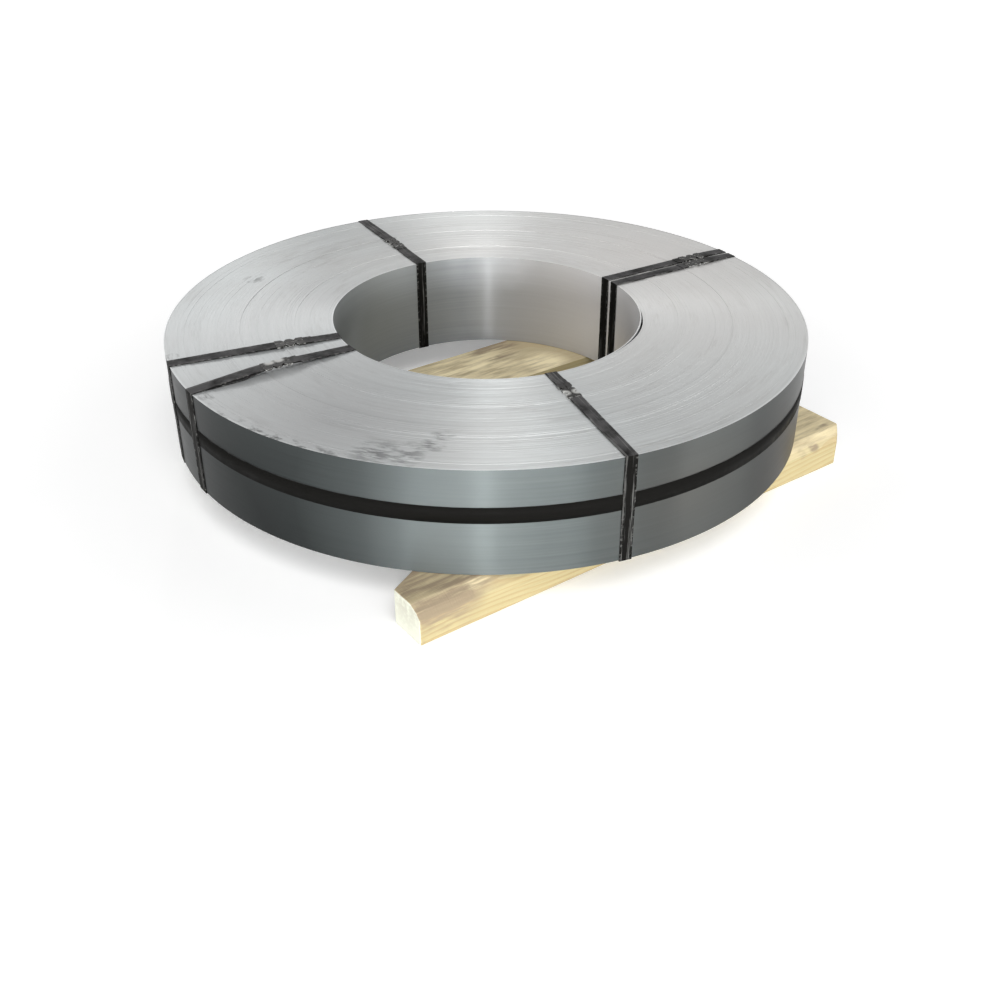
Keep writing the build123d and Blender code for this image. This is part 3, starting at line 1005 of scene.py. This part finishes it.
def roughen(bm, low, high):
    """Move the points of a timber in by a little, and more where straps press into its top."""
    for vert in bm.verts:
        x, y, z = vert.co
        coarse = noise.noise(Vector((x * 9, y * 35, z * 35)))
        wobble = coarse + 0.5 * noise.noise(Vector((x * 60, y * 60, z * 60)))
        inward = max(LEAST_DEPTH, ROUGHNESS_DEPTH * (0.5 + 0.5 * wobble))
        for axis in range(3):
            if vert.co[axis] - low[axis] < SKIN:
                vert.co[axis] += inward
            elif high[axis] - vert.co[axis] < SKIN:
                vert.co[axis] -= inward if axis != 2 else TOP_DEPTH_SHARE * inward
        vert.co.z = min(vert.co.z, high.z - LEAST_DEPTH)
        if high.z - z < SKIN and under_strap(x, y):
            vert.co.z = min(vert.co.z, high.z - DENT_DEPTH)


def front_cuts():
    """Planes that cut the front bearer: two of bark wane, the broken and the chipped corner."""
    cuts = []
    for (back, down), normal in (UPPER_WANE, LOWER_WANE):
        cuts.append((Vector((0, FRONT_LOW.y + back, FRONT_HIGH.z + down)), normal))
    cuts.append((Vector((FRONT_LOW.x, FRONT_LOW.y + BROKEN_START, 0)), BROKEN_DIRECTION))
    cuts.append((Vector((FRONT_HIGH.x - CHIP_LENGTH, FRONT_LOW.y, 0)), CHIP_DIRECTION))
    return cuts


class COIL_OT_timbers(bpy.types.Operator):
    """Saw and lay the bearers"""

    bl_idname = "coil.timbers"
    bl_label = "Timber bearers"

    def execute(self, context):
        settings = context.scene.timber_settings
        bm = sawn_timber(FRONT_LOW, FRONT_HIGH, front_cuts())
        roughen(bm, FRONT_LOW, FRONT_HIGH)
        wood = wood_material(
            "front_wood", settings, FRONT_PITH, FRONT_STAINS, FRONT_PAINTED_LIGHT, FRONT_PAINTED_LIGHT_COLOUR,
        )
        new_piece(bm, "timber_front_sawn", [wood], "timber_front")
        bm = sawn_timber(MIDDLE_LOW, MIDDLE_HIGH, ())
        roughen(bm, MIDDLE_LOW, MIDDLE_HIGH)
        wood = wood_material(
            "middle_wood", settings, MIDDLE_PITH, MIDDLE_PAINTED_SHADOW, MIDDLE_PAINTED_LIGHT, MIDDLE_PAINTED_LIGHT_COLOUR,
        )
        new_piece(bm, "timber_middle_sawn", [wood], "timber_middle")
        return {"FINISHED"}


def aim(thing, place, target):
    """Put a camera or lamp at a place and turn it to a target."""
    thing.location = place
    thing.rotation_euler = (Vector(target) - Vector(place)).to_track_quat("-Z", "Y").to_euler()


def area_lamp(name, place, target, width, height, power):
    """Add a soft rectangular lamp."""
    data = bpy.data.lights.new(name, "AREA")
    data.shape = "RECTANGLE"
    data.size = width
    data.size_y = height
    data.energy = power
    aim(add_object(name, data), place, target)


def add_sun():
    """Add the sun, aimed at the middle of the eye on the floor."""
    data = bpy.data.lights.new("window", "SUN")
    data.angle = math.radians(SUN_ANGLE)
    data.energy = SUN_STRENGTH
    aim(add_object("window", data), SUN_PLACE, (0, 0, 0))


def add_camera(settings):
    """Add the camera and make it the scene's."""
    data = bpy.data.cameras.new("camera")
    data.sensor_width = SENSOR_WIDTH
    data.lens = settings.focal_length
    camera = add_object("camera", data)
    aim(camera, CAMERA_PLACE, CAMERA_PLACE + CAMERA_DIRECTION)
    bpy.context.scene.camera = camera


def background_ray(nodes, links):
    """1 for rays that show the background: the camera's own, and those from metal and glass."""
    path = nodes.new("ShaderNodeLightPath").outputs
    ray = path["Is Camera Ray"]
    for name in ("Is Glossy Ray", "Is Transmission Ray"):
        either = nodes.new("ShaderNodeMath")
        either.operation = "MAXIMUM"
        links.new(ray, either.inputs[0])
        links.new(path[name], either.inputs[1])
        ray = either.outputs[0]
    return ray


def add_floor(settings):
    """Add a pale floor, which glows more for background rays the further it lies from the coil."""
    bm = bmesh.new()
    bmesh.ops.create_grid(bm, x_segments=1, y_segments=1, size=FLOOR_HALF)
    tree = Tree("floor_paint")
    grain = tree.noise(tree.place, scale=3.0)
    darker = tinted(settings.floor_colour, 0.985)
    colour = tree.blend(tree.spread(grain, 0.3, 0.7), darker, settings.floor_colour)
    floor = add_object("floor", new_mesh(bm, "floor", [tree.finish(colour, 0.9)]))
    floor.location.z = FLOOR_HEIGHT
    tree.put(tree.shader.inputs["Emission Color"], (1.0, 1.0, 1.0, 1.0))
    glow = tree.spread(tree.length(tree.place), 0.7, 2.6, 0.22, 0.60)
    strength = tree.times(background_ray(tree.nodes, tree.links), glow)
    tree.put(tree.shader.inputs["Emission Strength"], strength)


def light_world(settings):
    """Fill the world with even light, and make it white for background rays."""
    world = bpy.data.worlds.new("studio")
    bpy.context.scene.world = world
    world.use_nodes = True
    nodes, links = world.node_tree.nodes, world.node_tree.links
    back = nodes["Background"]
    back.inputs["Color"].default_value = (1.0, 1.0, 1.0, 1.0)
    strength = nodes.new("ShaderNodeMapRange")
    strength.inputs["To Min"].default_value = settings.world_strength
    links.new(background_ray(nodes, links), strength.inputs["Value"])
    links.new(strength.outputs["Result"], back.inputs["Strength"])


class COIL_OT_stage(bpy.types.Operator):
    """Set the camera, the lamps and the floor"""

    bl_idname = "coil.stage"
    bl_label = "Stage"

    def execute(self, context):
        settings = context.scene.stage_settings
        add_camera(settings)
        add_floor(settings)
        light_world(settings)
        add_sun()
        for row in LAMPS:
            area_lamp(*row)
        context.scene.view_settings.view_transform = "Standard"
        return {"FINISHED"}


class COIL_PT_panel(bpy.types.Panel):
    """Steps of the coil in the sidebar"""

    bl_label = "Steel coil"
    bl_idname = "COIL_PT_panel"
    bl_space_type = "VIEW_3D"
    bl_region_type = "UI"
    bl_category = "Coil"

    def draw(self, context):
        for operator in STEPS:
            self.layout.operator(operator.bl_idname)


STEPS = (
    COIL_OT_stage, COIL_OT_wind_pack, COIL_OT_outer_turns, COIL_OT_eye_straps,
    COIL_OT_belly_strap, COIL_OT_seals, COIL_OT_timbers,
)
GROUPS = (
    ("coil_settings", CoilSettings),
    ("strapping_settings", StrappingSettings),
    ("timber_settings", TimberSettings),
    ("stage_settings", StageSettings),
)


def register():
    for name, group in GROUPS:
        bpy.utils.register_class(group)
        setattr(bpy.types.Scene, name, PointerProperty(type=group))
    for operator in STEPS:
        bpy.utils.register_class(operator)
    bpy.utils.register_class(COIL_PT_panel)


def unregister():
    bpy.utils.unregister_class(COIL_PT_panel)
    for operator in reversed(STEPS):
        bpy.utils.unregister_class(operator)
    for name, group in reversed(GROUPS):
        delattr(bpy.types.Scene, name)
        bpy.utils.unregister_class(group)


def main():
    register()
    bpy.ops.coil.stage()
    bpy.ops.coil.wind_pack()
    bpy.ops.coil.outer_turns()
    bpy.ops.coil.eye_straps()
    bpy.ops.coil.belly_strap()
    bpy.ops.coil.seals()
    bpy.ops.coil.timbers()


if __name__ == "__main__":
    main()
